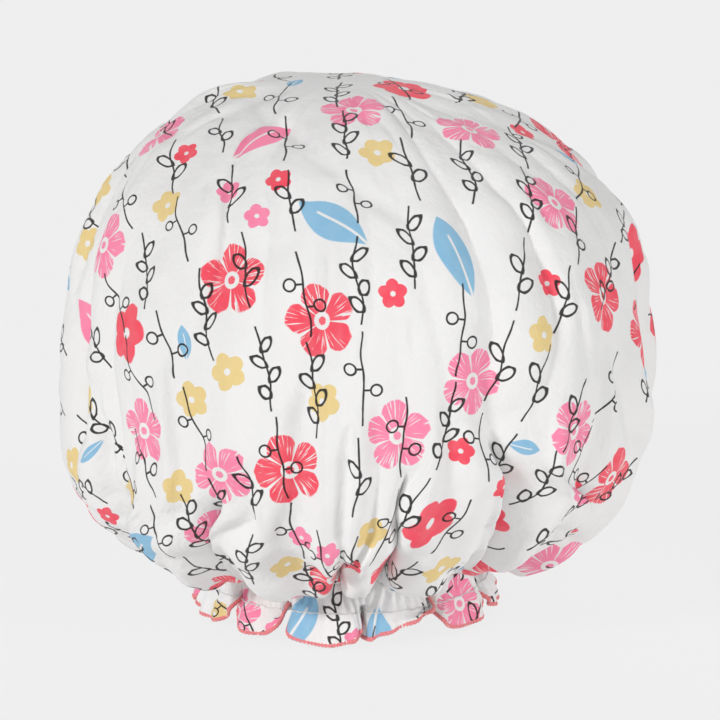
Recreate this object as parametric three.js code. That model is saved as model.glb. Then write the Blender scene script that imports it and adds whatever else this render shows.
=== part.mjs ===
import * as THREE from 'three';

// A gathered shower cap, filled as if on a head and standing on the hem of its ruffle.
// Lengths are in millimetres, +Z is up, the front faces -Y and the floor is at zero.
// A name that ends in share or shares is a share of a named size, not a length.

// The filled crown
const crownRadius = 120;
const crownRise = 117;
const bellyDrop = 76;
const foldDepth = 12;
const crownRoundness = 2.35;
const bellyRoundness = 2.7;
const crownLean = 9;
const neckLean = 6;

// The gathered neck and its casing
const elasticRadius = 55;
const elasticWidth = 6;
const elasticThickness = 0.8;
const elasticOverlap = 12;
const casingHeight = 12;
const casingPuff = 2.5;
const neckFoldDepth = 2.6;

// The ruffle below the casing
const ruffleDrop = 20;
const ruffleHeight = 8;
const ruffleRadius = 56.5;
const ruffleFoldDepth = 6;
const hemRadius = 58;
const hemFoldDepth = 7;
const hemLift = 3;

// The cloth, the lining and the threads
const clothThickness = 0.6;
const liningThickness = 0.4;
const threadThickness = 0.5;
const threadSeat = 0.45;
const joinStitchWidth = 0.7;
const joinStitchMargin = 1.2;
const edgingBulk = 1;
const edgingWall = 0.6;
const edgingDepth = 2.2;
const edgingClearance = 0.45;

// Clearance between neighbouring pieces, and how deep the hem is cut flat where it stands
const clearance = 0.3;
const standCut = 0.5;

// Heights of the cap's rings above the floor
const neckHeight = ruffleDrop;
const upperRowHeight = neckHeight + casingHeight / 2;
const widestHeight = upperRowHeight + bellyDrop;
const lowerRowHeight = neckHeight - casingHeight / 2;
const channelTop = neckHeight + elasticWidth / 2 + clearance;
const channelBottom = neckHeight - elasticWidth / 2 - clearance;
const hemHeight = edgingBulk - standCut + clearance;

// What lies in the neck, counted inwards from the elastic's outer face
const layersThickness = clothThickness + clearance + liningThickness;
const channelClothRadius = elasticRadius + clearance + clothThickness;
const innerPlyRadius = elasticRadius - elasticThickness - clearance;
const joinStitchRadius = innerPlyRadius - elasticThickness - clearance;
const channelLiningRadius = joinStitchRadius - threadThickness - clearance;

// The main folds, counter-clockwise from the left of the front seen from above: each fold's width,
// and the depth of the crease at its start, how far that crease runs up the crown and how far it
// slants round from there down to the neck, as shares of the usual fold
const foldShares = [
  [0.95, 0.95, 1.1, -0.5], [0.9, 1.3, 0.9, -1.1], [1.25, 1.25, 0.95, -0.2],
  [0.9, 0.9, 0.6, -0.2], [0.95, 1.3, 1.05, -0.8], [1.05, 1.35, 1.15, 0.2],
  [1.05, 1.2, 0.9, -0.8], [1.05, 0.95, 1.25, 0.3], [1.05, 1.15, 1.05, 0],
  [0.9, 0.9, 1.2, 0.4], [1.1, 1.2, 1.3, -0.4], [0.95, 0.95, 1, 0.3],
  [1.05, 1.15, 1.2, -0.3], [0.95, 0.9, 1.05, 0.4], [1.05, 1.2, 1.25, 0.3],
  [1.05, 0.9, 1.1, -0.4], [0.95, 1.15, 1.3, 0.2], [0.85, 1, 1.3, -0.3],
];
const firstFoldAngle = THREE.MathUtils.degToRad(-155);
const foldSlant = THREE.MathUtils.degToRad(10);

// A fold is a rounded lobe between two sharp creases: a crease column and the lobe's two shoulders
const foldColumnShares = [0, 0.3, 0.7];
const bellyLobeShare = 0.08;
const neckLobeShare = 0.35;
const columnsPerFold = foldColumnShares.length;

// Rings of the crown and of the belly: share of the way down, then the shares of the fold depth
// and of the folds' slant there
const topRingShare = 0.24;
const crownRingShares = [[0.5, 0.03, 1], [0.78, 0.1, 1]];
const bellyRingShares = [[0.1, 0.25, 0.75], [0.42, 0.68, 0.35], [0.76, 1, 0.07]];

// The columns of the cloth, one for each crease and shoulder
function foldColumns() {
  const wholeWidth = foldShares.reduce((sum, [width]) => sum + width, 0);
  const columns = [];
  let start = firstFoldAngle;
  foldShares.forEach(([width, depthShare, reach, slantShare], fold) => {
    const sweep = (2 * Math.PI * width) / wholeWidth;
    const nextSlantShare = foldShares[(fold + 1) % foldShares.length][3];
    foldColumnShares.forEach((across, step) => {
      const isCrease = step === 0;
      const slant = foldSlant * THREE.MathUtils.lerp(slantShare, nextSlantShare, across);
      columns.push({ angle: start + sweep * across, slant, isCrease, depthShare, reach });
    });
    start += sweep;
  });
  return columns;
}

const columns = foldColumns();

// A point of the cap at a radius, an angle and a height
function polar(radius, angle, height) {
  return new THREE.Vector3(radius * Math.cos(angle), radius * Math.sin(angle), height);
}

// The profile from the top to the widest ring, a rounded quarter
function crownProfile(downShare) {
  const turn = (Math.PI / 2) * downShare;
  const power = 2 / crownRoundness;
  const radius = crownRadius * Math.sin(turn) ** power;
  return new THREE.Vector2(radius, widestHeight + crownRise * Math.cos(turn) ** power);
}

// The profile from the widest ring in to the casing, part of a fuller quarter
function bellyProfile(downShare) {
  const neckShare = channelClothRadius / crownRadius;
  const fullDrop = bellyDrop / (1 - neckShare ** bellyRoundness) ** (1 / bellyRoundness);
  const turn = Math.acos(neckShare ** (bellyRoundness / 2)) * downShare;
  const power = 2 / bellyRoundness;
  const radius = crownRadius * Math.cos(turn) ** power;
  return new THREE.Vector2(radius, widestHeight - fullDrop * Math.sin(turn) ** power);
}

// A ring of the profile: its place, the way its folds stand out and how deep they are
function profileRings() {
  const level = new THREE.Vector2(1, 0);
  const filledRing = (place, depthShare, slantShare) => ({
    place, depthShare, slantShare, foldDepth, lobeShare: bellyLobeShare,
  });
  const filled = [
    ...crownRingShares.map(([down, ...shares]) => filledRing(crownProfile(down), ...shares)),
    ...bellyRingShares.map(([down, ...shares]) => filledRing(bellyProfile(down), ...shares)),
  ];
  const steps = [crownProfile(topRingShare), ...filled.map((ring) => ring.place), bellyProfile(1)];
  filled.forEach((ring, row) => {
    const along = steps[row + 2].clone().sub(steps[row]).normalize();
    ring.outward = new THREE.Vector2(-along.y, along.x);
  });
  const neckRing = (radius, height, depth) => ({
    place: new THREE.Vector2(radius, height), outward: level, foldDepth: depth, depthShare: 1,
    slantShare: 0, lobeShare: neckLobeShare,
  });
  return [
    ...filled,
    { ...neckRing(channelClothRadius, upperRowHeight, neckFoldDepth), upright: true },
    { ...neckRing(channelClothRadius, channelTop, casingPuff), upright: true, channel: true },
    { ...neckRing(channelClothRadius, channelBottom, casingPuff), upright: true, channel: true },
    { ...neckRing(channelClothRadius, lowerRowHeight, neckFoldDepth), upright: true },
    neckRing(ruffleRadius, ruffleHeight, ruffleFoldDepth),
    { ...neckRing(hemRadius, hemHeight, hemFoldDepth), hem: true },
  ];
}

const rings = profileRings();
const upperRow = rings.findIndex((ring) => ring.upright);
const lowerRow = rings.findLastIndex((ring) => ring.upright);
const ruffleRow = lowerRow + 1;
const hemRow = ruffleRow + 1;

// Where a ring's cloth lies in one column: lobes stand out of the profile and creases go in.
// The channel's cloth only puffs outwards, because the elastic is behind it.
function ringPoint(ring, column) {
  const depth = ring.foldDepth * column.depthShare * ring.depthShare ** (1 / column.reach);
  let out = depth * (column.isCrease ? ring.lobeShare - 1 : ring.lobeShare);
  if (ring.channel) out = column.isCrease ? 0 : depth;
  const lift = ring.hem && column.isCrease ? hemLift : 0;
  const radius = ring.place.x + ring.outward.x * out;
  const angle = column.angle + column.slant * ring.slantShare;
  return polar(radius, angle, ring.place.y + ring.outward.y * out + lift);
}

// The cloth's outer face: the top point, a plain ring of creases, then the folded rings
function outerFace() {
  const top = new THREE.Vector3(0, 0, widestHeight + crownRise);
  const topRing = crownProfile(topRingShare);
  const creases = columns.filter((column) => column.isCrease);
  return [
    top,
    ...creases.map((column) => polar(topRing.x, column.angle + column.slant, topRing.y)),
    ...rings.flatMap((ring) => columns.map((column) => ringPoint(ring, column))),
  ];
}

// Numbers of the face's points
const foldCount = foldShares.length;
const topRingPoint = (fold) => 1 + (fold % foldCount);
const ringPointNumber = (row, column) =>
  1 + foldCount + row * columns.length + (column % columns.length);

// The triangles of a face, seen from outside the cap
function faceTriangles() {
  const triangles = [];
  for (let fold = 0; fold < foldCount; fold += 1) {
    const here = topRingPoint(fold);
    const next = topRingPoint(fold + 1);
    const first = fold * columnsPerFold;
    const below = (step) => ringPointNumber(0, first + step);
    triangles.push([0, here, next]);
    for (let step = 0; step < columnsPerFold - 1; step += 1) {
      triangles.push([here, below(step), below(step + 1)]);
    }
    triangles.push([here, below(columnsPerFold - 1), next]);
    triangles.push([next, below(columnsPerFold - 1), below(columnsPerFold)]);
  }
  for (let row = 0; row < hemRow; row += 1) {
    for (let column = 0; column < columns.length; column += 1) {
      const upper = ringPointNumber(row, column);
      const lower = ringPointNumber(row + 1, column);
      const lowerNext = ringPointNumber(row + 1, column + 1);
      const upperNext = ringPointNumber(row, column + 1);
      triangles.push([upper, lower, lowerNext], [upper, lowerNext, upperNext]);
    }
  }
  return triangles;
}

const face = outerFace();
const triangles = faceTriangles();

// A closed mesh from its points and triangles
function closedGeometry(points, faces) {
  const geometry = new THREE.BufferGeometry();
  const positions = points.flatMap((point) => point.toArray());
  geometry.setAttribute('position', new THREE.Float32BufferAttribute(positions, 3));
  geometry.setIndex(faces.flat());
  geometry.computeVertexNormals();
  return geometry;
}

// How far the filling pushes the cap to its left at one height: the crown more and more
// towards the top, and the belly more and more down to the gathered neck
function leanAt(height) {
  const above = Math.max(height - widestHeight, 0) / crownRise;
  const below = THREE.MathUtils.clamp((widestHeight - height) / bellyDrop, 0, 1);
  return -crownLean * above ** 3 - neckLean * below ** 2;
}

// The way out of the cap, square to its face, from each point of the face
function squareDirections() {
  const normals = closedGeometry(face, triangles).getAttribute('normal');
  return face.map((point, number) => new THREE.Vector3().fromBufferAttribute(normals, number));
}

const outward = squareDirections();

// The ring that a point of the face is on, if it is on one of the folded rings
function ringOf(number) {
  return rings[Math.floor((number - 1 - foldCount) / columns.length)];
}

// The way that the layers follow each other into the cap: towards the axis in the casing,
// level at the hem and square to the face elsewhere
const inward = face.map((point, number) => {
  const ring = ringOf(number);
  if (ring?.upright) return new THREE.Vector3(-point.x, -point.y, 0).normalize();
  const square = outward[number].clone().negate();
  return ring?.hem ? square.setZ(0).normalize() : square;
});

// The face moved into the cap; in the channel the lining's layers lie on plain circles instead
function insetFace(depth, channelRadius) {
  return face.map((point, number) => {
    let inset = depth;
    if (channelRadius !== undefined && ringOf(number)?.channel) {
      inset = Math.hypot(point.x, point.y) - channelRadius;
    }
    return point.clone().addScaledVector(inward[number], inset);
  });
}

// A sheet between two faces, closed along the hem
function sheetGeometry(outside, inside) {
  const reversed = triangles.map(([a, b, c]) => [c, b, a].map((number) => number + face.length));
  const rim = [];
  for (let column = 0; column < columns.length; column += 1) {
    const outer = ringPointNumber(hemRow, column);
    const outerNext = ringPointNumber(hemRow, column + 1);
    const inner = outer + face.length;
    const innerNext = outerNext + face.length;
    rim.push([outerNext, outer, inner], [outerNext, inner, innerNext]);
  }
  return closedGeometry([...outside, ...inside], [...triangles, ...reversed, ...rim]);
}

// A bar through a run of like sections, joined end to end or closed by flat ends
function barGeometry(sections, isRing) {
  const corners = sections[0].length;
  const number = (step, corner) => (step % sections.length) * corners + (corner % corners);
  const faces = [];
  const lastStep = isRing ? sections.length : sections.length - 1;
  for (let step = 0; step < lastStep; step += 1) {
    for (let corner = 0; corner < corners; corner += 1) {
      const here = number(step, corner);
      const across = number(step, corner + 1);
      const ahead = number(step + 1, corner);
      const aheadAcross = number(step + 1, corner + 1);
      faces.push([here, ahead, aheadAcross], [here, aheadAcross, across]);
    }
  }
  if (!isRing) {
    for (let corner = 1; corner < corners - 1; corner += 1) {
      const last = sections.length - 1;
      faces.push([number(0, 0), number(0, corner), number(0, corner + 1)]);
      faces.push([number(last, 0), number(last, corner + 1), number(last, corner)]);
    }
  }
  return closedGeometry(sections.flat(), faces);
}

// Elastic band in the casing: a flat band of one turn, its end lapped inside its start
function elasticBand() {
  const stepsPerTurn = columns.length;
  const joinAngle = Math.PI / 2;
  const lapAngle = elasticOverlap / elasticRadius;
  const leadAngle = Math.PI / 5;
  const angles = [];
  for (let step = 0; step <= stepsPerTurn; step += 1) {
    angles.push((2 * Math.PI * step) / stepsPerTurn);
  }
  angles.push(2 * Math.PI + lapAngle / 2, 2 * Math.PI + lapAngle);
  const sections = angles.map((angle) => {
    const untilJoin = Math.max(2 * Math.PI - angle, 0);
    const stepIn = Math.max(1 - untilJoin / leadAngle, 0) * (elasticRadius - innerPlyRadius);
    const outer = elasticRadius - stepIn;
    const inner = outer - elasticThickness;
    const top = neckHeight + elasticWidth / 2;
    const bottom = neckHeight - elasticWidth / 2;
    return [
      polar(outer, joinAngle + angle, top),
      polar(inner, joinAngle + angle, top),
      polar(inner, joinAngle + angle, bottom),
      polar(outer, joinAngle + angle, bottom),
    ];
  });
  return barGeometry(sections, false);
}

// Zigzag stitch that joins the elastic's lapped ends, on the band's inner face
function elasticJoinStitch() {
  const turns = 4;
  const halfLength = elasticOverlap / 2 - joinStitchMargin;
  const halfHeight = elasticWidth / 2 - joinStitchMargin;
  const middleAngle = Math.PI / 2 + elasticOverlap / elasticRadius / 2;
  const sections = [];
  for (let step = 0; step <= turns; step += 1) {
    const along = halfLength * ((2 * step) / turns - 1);
    const angle = middleAngle + along / elasticRadius;
    const height = neckHeight + halfHeight * (step % 2 === 0 ? 1 : -1);
    const top = height + joinStitchWidth / 2;
    const bottom = height - joinStitchWidth / 2;
    sections.push([
      polar(joinStitchRadius, angle, top),
      polar(joinStitchRadius - threadThickness, angle, top),
      polar(joinStitchRadius - threadThickness, angle, bottom),
      polar(joinStitchRadius, angle, bottom),
    ]);
  }
  return barGeometry(sections, false);
}

// The way square to both the cloth above a row and the cloth below it, in one column of a face
function squareToCorner(side, row, step) {
  const [above, here, below] = [row - 1, row, row + 1].map((ring) => {
    const point = side[ringPointNumber(ring, step)];
    return new THREE.Vector2(Math.hypot(point.x, point.y), point.z);
  });
  const down = here.clone().sub(above).normalize().add(below.sub(here).normalize()).normalize();
  return polar(-down.y, columns[step].angle, down.x);
}

// A row of stitching on one side of a face, as a thin thread that stands off it in the corner
// that the casing makes there
function stitchRow(side, row, standOut) {
  const threadSides = 3;
  const up = new THREE.Vector3(0, 0, 1);
  const sections = columns.map((column, step) => {
    const centre = side[ringPointNumber(row, step)].clone()
      .addScaledVector(squareToCorner(side, row, step), standOut);
    const across = polar(threadThickness / 2, column.angle, 0);
    const corners = [];
    for (let corner = 0; corner < threadSides; corner += 1) {
      const turn = (2 * Math.PI * corner) / threadSides;
      corners.push(centre.clone()
        .addScaledVector(across, Math.cos(turn))
        .addScaledVector(up, (threadThickness / 2) * Math.sin(turn)));
    }
    return corners;
  });
  return barGeometry(sections, true);
}

// Overlocked edging: a channel of thread round both layers' edges, planed flat where it stands
function hemEdging(outside, inside) {
  const sections = columns.map((column, step) => {
    const hem = ringPointNumber(hemRow, step);
    const above = ringPointNumber(ruffleRow, step);
    const level = inward[hem];
    const wallTop = (side, across) => {
      const rise = side[above].clone().sub(side[hem]).normalize();
      return side[hem].clone().addScaledVector(rise, edgingDepth).addScaledVector(level, across);
    };
    const foot = (side, across, below) => {
      const point = side[hem].clone().addScaledVector(level, across);
      return point.setZ(Math.max(point.z - below, 0));
    };
    const near = edgingClearance;
    const far = edgingClearance + edgingWall;
    return [
      wallTop(outside, -far),
      wallTop(outside, -near),
      foot(outside, -near, clearance),
      foot(inside, near, clearance),
      wallTop(inside, near),
      wallTop(inside, far),
      foot(inside, far, clearance + edgingBulk),
      foot(outside, -far, clearance + edgingBulk),
    ];
  });
  return barGeometry(sections, true);
}

// Finishes
const printedCotton = new THREE.MeshStandardMaterial({ color: 0xeeedec, roughness: 0.85 });
const frostedFilm = new THREE.MeshStandardMaterial({ color: 0xe6eaec, roughness: 0.35 });
const wovenElastic = new THREE.MeshStandardMaterial({ color: 0xf2f2ef, roughness: 0.8 });
const whiteThread = new THREE.MeshStandardMaterial({ color: 0xf6f5f2, roughness: 0.7 });
const coralThread = new THREE.MeshStandardMaterial({ color: 0xeb6469, roughness: 0.65 });

const cap = new THREE.Group();

// Adds a piece, with every point of it moved sideways as the cap leans at its height
function addPiece(name, geometry, material) {
  const places = geometry.getAttribute('position');
  for (let number = 0; number < places.count; number += 1) {
    places.setX(number, places.getX(number) + leanAt(places.getZ(number)));
  }
  geometry.computeVertexNormals();
  const mesh = new THREE.Mesh(geometry, material);
  mesh.name = name;
  cap.add(mesh);
}

// The pieces
const clothInside = insetFace(clothThickness);
const liningOutside = insetFace(clothThickness + clearance, channelLiningRadius);
const liningInside = insetFace(layersThickness, channelLiningRadius - liningThickness);
const standOff = threadSeat + threadThickness / 2;

addPiece('outer_fabric', sheetGeometry(face, clothInside), printedCotton);
addPiece('waterproof_lining', sheetGeometry(liningOutside, liningInside), frostedFilm);
addPiece('elastic_band', elasticBand(), wovenElastic);
addPiece('elastic_join_stitch', elasticJoinStitch(), whiteThread);
addPiece('upper_row_needle_thread', stitchRow(face, upperRow, standOff), whiteThread);
addPiece('upper_row_bobbin_thread', stitchRow(liningInside, upperRow, -standOff), whiteThread);
addPiece('lower_row_needle_thread', stitchRow(face, lowerRow, standOff), whiteThread);
addPiece('lower_row_bobbin_thread', stitchRow(liningInside, lowerRow, -standOff), whiteThread);
addPiece('hem_overlock_edging', hemEdging(face, liningInside), coralThread);

export default cap;
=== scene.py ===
import math

import bmesh
import bpy
import numpy as np
from bpy.props import FloatProperty, FloatVectorProperty, IntProperty, PointerProperty
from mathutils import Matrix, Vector


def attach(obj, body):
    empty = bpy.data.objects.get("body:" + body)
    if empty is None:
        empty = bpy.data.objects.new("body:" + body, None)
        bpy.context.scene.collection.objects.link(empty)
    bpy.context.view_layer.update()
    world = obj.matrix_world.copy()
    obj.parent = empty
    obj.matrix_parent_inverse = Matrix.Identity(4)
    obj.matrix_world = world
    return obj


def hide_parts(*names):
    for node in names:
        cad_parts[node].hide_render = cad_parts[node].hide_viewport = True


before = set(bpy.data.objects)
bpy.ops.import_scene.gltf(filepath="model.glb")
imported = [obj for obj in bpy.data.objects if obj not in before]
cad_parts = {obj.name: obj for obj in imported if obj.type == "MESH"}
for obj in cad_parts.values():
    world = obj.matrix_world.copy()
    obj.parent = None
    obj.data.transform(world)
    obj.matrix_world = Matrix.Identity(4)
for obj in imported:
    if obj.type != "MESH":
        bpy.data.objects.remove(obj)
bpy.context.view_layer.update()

bl_info = {
    "name": "Gathered shower cap",
    "version": (1, 0, 0),
    "blender": (4, 5, 0),
    "location": "View3D > Sidebar > Shower cap",
    "description": "Sews, prints and photographs a lined shower cap with a gathered ruffle",
    "category": "Add Mesh",
}

BODY = "root"

# The creases of the main folds, one a line: degrees round from the front, depth as a share of
# the fold depth, how far down the cloth it begins in metres, which way its lobes lean over it,
# how many degrees it slants on its way down and how deep it already is on the filled crown
CREASES = np.array(
    [
        (-65, 0.95, 0.188, -0.7, -5, 0.28),
        (-46, 1.30, 0.228, -1.0, -11, 0.16),
        (-26, 1.25, 0.212, -1.0, -1, 0.08),
        (-3, 0.90, 0.250, 0.0, -2, 0.08),
        (14, 1.30, 0.200, -0.8, -10, 0.10),
        (31, 1.35, 0.190, 1.0, -4, 0.12),
        (54, 1.25, 0.220, 0.9, -12, 0.16),
        (76, 0.95, 0.165, 0.6, 3, 0.34),
        (97, 1.15, 0.200, 0.8, 0, 0.32),
        (118, 0.90, 0.180, 0.4, 4, 0.36),
        (136, 1.20, 0.160, 0.5, -4, 0.42),
        (158, 0.95, 0.210, 0.3, 3, 0.32),
        (177, 1.15, 0.180, 0.0, -3, 0.36),
        (198, 0.90, 0.200, -0.4, 4, 0.32),
        (217, 1.20, 0.170, -0.5, 3, 0.40),
        (238, 0.90, 0.190, -0.7, -4, 0.34),
        (259, 1.15, 0.150, -0.8, 2, 0.42),
        (278, 1.00, 0.160, -0.8, -3, 0.38),
    ]
)
CREASE_TURNS, CREASE_DEPTHS, CREASE_STARTS, CREASE_LEANS, CREASE_SLANTS, CREASE_FILLED = CREASES.T

# The notches between the ruffle's tabs, one a line: degrees round from the front, how far in the
# cloth turns there as a share of the ruffle's depth, how far the hem is lifted to the left and to
# the right of the notch in metres, and how late it rises to the notch from the left
NOTCHES = np.array(
    [
        (-80, 0.90, 0.012, 0.014, 5.0),
        (-48, 1.00, 0.020, 0.017, 5.0),
        (-24, 0.90, 0.018, 0.012, 4.0),
        (7.5, 1.00, 0.011, 0.001, 5.0),
        (38, 1.10, 0.017, 0.016, 1.2),
        (70, 1.00, 0.014, 0.016, 5.0),
        (97, 0.85, 0.015, 0.010, 4.0),
        (124, 1.00, 0.011, 0.018, 5.0),
        (149, 0.85, 0.016, 0.009, 3.0),
        (176, 1.00, 0.010, 0.016, 5.0),
        (203, 0.90, 0.014, 0.013, 4.0),
        (229, 1.00, 0.018, 0.010, 2.0),
        (255, 0.90, 0.010, 0.015, 5.0),
    ]
)
NOTCH_TURNS, NOTCH_DEPTHS, LEFT_LIFTS, RIGHT_LIFTS, LATENESS = NOTCHES.T

# Ridges and hollows that the filling and the gathers leave, one a line: degrees and metres down
# where each starts and ends, its half width and its height in metres, and how steep its left
# side (-1) or its right side (1) is
SWELLS = [
    (0, 0.120, -3, 0.190, 0.0090, 0.0024, 0.0),
    (-6, 0.180, -5.5, 0.280, 0.0062, 0.0034, 0.6),
    (-0.5, 0.190, -1.5, 0.255, 0.0050, 0.0034, -1.0),
    (-10, 0.150, -12, 0.255, 0.0080, -0.0030, 0.0),
    (-44, 0.150, -46, 0.235, 0.0080, 0.0024, 0.4),
    (-38, 0.175, -37, 0.215, 0.0058, 0.0028, 0.9),
    (-46, 0.186, -49, 0.220, 0.0055, -0.0026, 0.0),
    (-24, 0.185, -34, 0.240, 0.0070, 0.0027, -0.5),
    (-18, 0.205, -15, 0.285, 0.0055, 0.0026, 0.8),
    (-22, 0.055, 14, 0.110, 0.0050, -0.0021, 0.0),
    (34, 0.070, 22, 0.130, 0.0070, -0.0018, 0.0),
    (15, 0.226, 22, 0.270, 0.0050, 0.0034, 1.0),
    (25, 0.245, 25, 0.292, 0.0045, -0.0028, 0.0),
    (38, 0.198, 37, 0.262, 0.0050, 0.0036, -0.8),
    (4, 0.264, 5, 0.296, 0.0080, -0.0032, 0.0),
    (24, 0.170, 27, 0.235, 0.0080, -0.0021, 0.0),
    (46, 0.150, 50, 0.225, 0.0080, 0.0027, 0.5),
    (46, 0.236, 49, 0.292, 0.0045, -0.0030, 0.6),
    (63, 0.215, 66, 0.288, 0.0048, 0.0036, -0.8),
    (72, 0.225, 77, 0.288, 0.0045, -0.0030, 0.8),
    (57, 0.182, 66, 0.226, 0.0060, -0.0034, 0.0),
    (-70, 0.110, -66, 0.200, 0.0080, -0.0030, 0.0),
    (-60, 0.205, -55, 0.262, 0.0055, 0.0032, 1.0),
    (78, 0.140, 70, 0.230, 0.0080, -0.0033, 0.0),
    (-60, 0.040, -20, 0.060, 0.0080, -0.0024, 0.0),
    (60, 0.045, 100, 0.120, 0.0100, -0.0027, 0.0),
    (125, 0.080, 150, 0.180, 0.0100, 0.0024, 0.0),
    (190, 0.060, 170, 0.150, 0.0090, -0.0027, 0.0),
    (230, 0.080, 236, 0.190, 0.0090, 0.0027, 0.0),
]

# The tucks that run up from the neck between the swells
TUCK_SEED = 31
TUCK_COUNT = 38

# The plain form. A squareness of 2 is round, and lengths here and below are in metres
CROWN_SQUARENESS = 2.35
BELLY_SQUARENESS = 2.7
PROFILE_STEPS = 160
PROFILE_STEP = 0.002
HEM_ABOVE_FLOOR = 0.0006
FINE_ROWS_ABOVE_WIDEST = 0.02

# Where the folds begin down the cloth, how fast they deepen and how far they droop
SOFT_FOLD_START = 0.09
SLANT_START = 0.15
PINCH_RUN = 0.026
NECK_RUN = 0.04
DEEPEST_ABOVE_ROW = 0.010
DROOP_DEPTH = 0.0030

# Gathers between the folds, in the casing and at the hem
PLEAT_REACH = 0.062
PLEAT_REACH_SPREAD = 0.036
PLEAT_HEIGHT = 0.0062
PUCKER_HEIGHT = 0.0010
CASING_PUCKER = 0.0009
CASING_PUFF = 0.0012
HEM_GATHER = 0.0012
HEM_PUCKER = 0.0008

# The filling's lumps, one a line: seed, how many round and down the cap, and height
LUMPS = [(21, 6, 4, 0.0024), (22, 14, 8, 0.0022), (23, 34, 18, 0.0009)]
BROAD_CRUMPLE = 0.0050
FINE_CRUMPLE = 0.0017
NECK_CRUMPLE = 0.0032

# How far the film lies inside the cloth and how much further round the elastic
LINING_INSET = 0.0010
ELASTIC_INSET = 0.0033

# The scattered motifs, one a line: radius, kind (0 brushed blossom, 1 leaf, 2 solid blossom),
# ink and how many are wanted for each square metre
PRINT_SEED = 17
MOTIF_GAP = 0.0058
MOTIF_TRIES = 4000
MOTIF_SORTS = [
    (0.0150, 0, 0, 110),
    (0.0140, 0, 1, 110),
    (0.0165, 1, 2, 75),
    (0.0125, 2, 0, 70),
    (0.0150, 1, 1, 55),
    (0.0078, 2, 3, 210),
    (0.0060, 2, 0, 130),
    (0.0068, 1, 2, 110),
    (0.0058, 2, 1, 60),
]

# The drawn sprigs: from one to the next in a column, the room of a row when rows are counted,
# their shortest and longest half length, their width, how far two ends may overlap, how near the
# pole and how far past the hem their middles may lie, and how much of the flat cloth's slant
# they keep round the cap
SPRIG_SPACING = 0.0365
SPRIG_ROW_ROOM = 0.019
SPRIG_HALF_LENGTHS = (0.0135, 0.0185)
SPRIG_WIDTH = 0.0168
SPRIG_OVERLAP = 0.001
SPRIG_POLE_GAP = 0.004
SPRIG_PAST_HEM = 0.012
SPRIG_FALL = 0.72

# The casing's stitches, and the overlocking with the slant of its wraps in radians
THREAD_RADIUS = 0.00026
STITCH_RISE = 0.00055
STITCH_SINK = 0.00022
BOBBIN_INSET = 0.0012
RING_STEP = 0.0015
ROW_POINTS = 2400
HEM_INSET = 0.00045
HEM_POINTS = 3000
WRAP_SLANT = 1.2

# The studio's suns, one a line: name, degrees round from the front and above the floor, width in
# degrees and power. The glow and the strength are for light on the cap, then for the picture
SUNS = [
    ("Key softbox", -48, 25, 11, 1.72),
    ("Right softbox", 66, 14, 14, 1.20),
    ("Low front fill", 4, 2, 40, 0.62),
    ("Top softbox", 170, 62, 50, 0.42),
]
FLOOR_GLOW = (0.50, 0.91)
SKY_STRENGTH = (0.22, 1.0)
FLOOR_HALF_WIDTH = 6
AIM_HEIGHT = 0.1035
SENSOR_WIDTH = 36


# Sizes and colours that a user would change


def length_setting(name, description, default):
    return FloatProperty(name=name, description=description, default=default, unit="LENGTH")


def colour_setting(name, description, default):
    return FloatVectorProperty(
        name=name, description=description, default=default, subtype="COLOR"
    )


def count_setting(name, description, default):
    return IntProperty(name=name, description=description, default=default)


class CapShape(bpy.types.PropertyGroup):
    crown_radius: length_setting("Crown radius", "Half the width of the filled crown", 0.1195)
    crown_rise: length_setting("Crown rise", "From the widest ring up to the top", 0.117)
    belly_drop: length_setting("Belly drop", "From the widest ring down to the casing", 0.076)
    crown_lean: length_setting("Crown lean", "How far the top is pushed to the left", 0.009)
    neck_lean: length_setting("Neck lean", "How far the neck is pushed to the left", 0.006)
    neck_radius: length_setting("Neck radius", "Radius of the cloth over the elastic", 0.0559)
    upper_row_height: length_setting(
        "Upper row height", "Height of the casing's upper stitching", 0.026
    )
    lower_row_height: length_setting(
        "Lower row height", "Height of the casing's lower stitching", 0.014
    )
    hem_radius: length_setting("Hem radius", "Mean radius of the ruffle's hem", 0.0570)
    fold_depth: length_setting("Fold depth", "Depth of the main folds above the neck", 0.0180)
    ruffle_depth: length_setting("Ruffle depth", "Depth of the ruffle's folds at the hem", 0.018)
    columns: count_setting("Columns", "Mesh columns round the cloth", 540)
    crown_rows: count_setting("Crown rows", "Mesh rows down the smooth crown", 54)
    belly_rows: count_setting("Belly rows", "Mesh rows down the folded belly", 78)
    ruffle_rows: count_setting("Ruffle rows", "Mesh rows in the casing and the ruffle", 36)


class CapPrint(bpy.types.PropertyGroup):
    cotton: colour_setting("Cotton", "The unprinted cloth", (0.855, 0.848, 0.843))
    coral: colour_setting("Coral red", "Largest blossoms", (0.91, 0.052, 0.098))
    pink: colour_setting("Pink", "Second blossoms", (0.965, 0.225, 0.40))
    sky: colour_setting("Sky blue", "Leaves", (0.235, 0.50, 0.72))
    mustard: colour_setting("Mustard", "Small blossoms", (0.82, 0.62, 0.25))
    ink: colour_setting("Ink", "Drawn sprigs", (0.018, 0.016, 0.016))
    sprig_pitch: length_setting("Sprig pitch", "Space between the sprigs' columns", 0.0245)
    ink_width: length_setting("Ink width", "Width of a drawn line", 0.00080)


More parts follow.
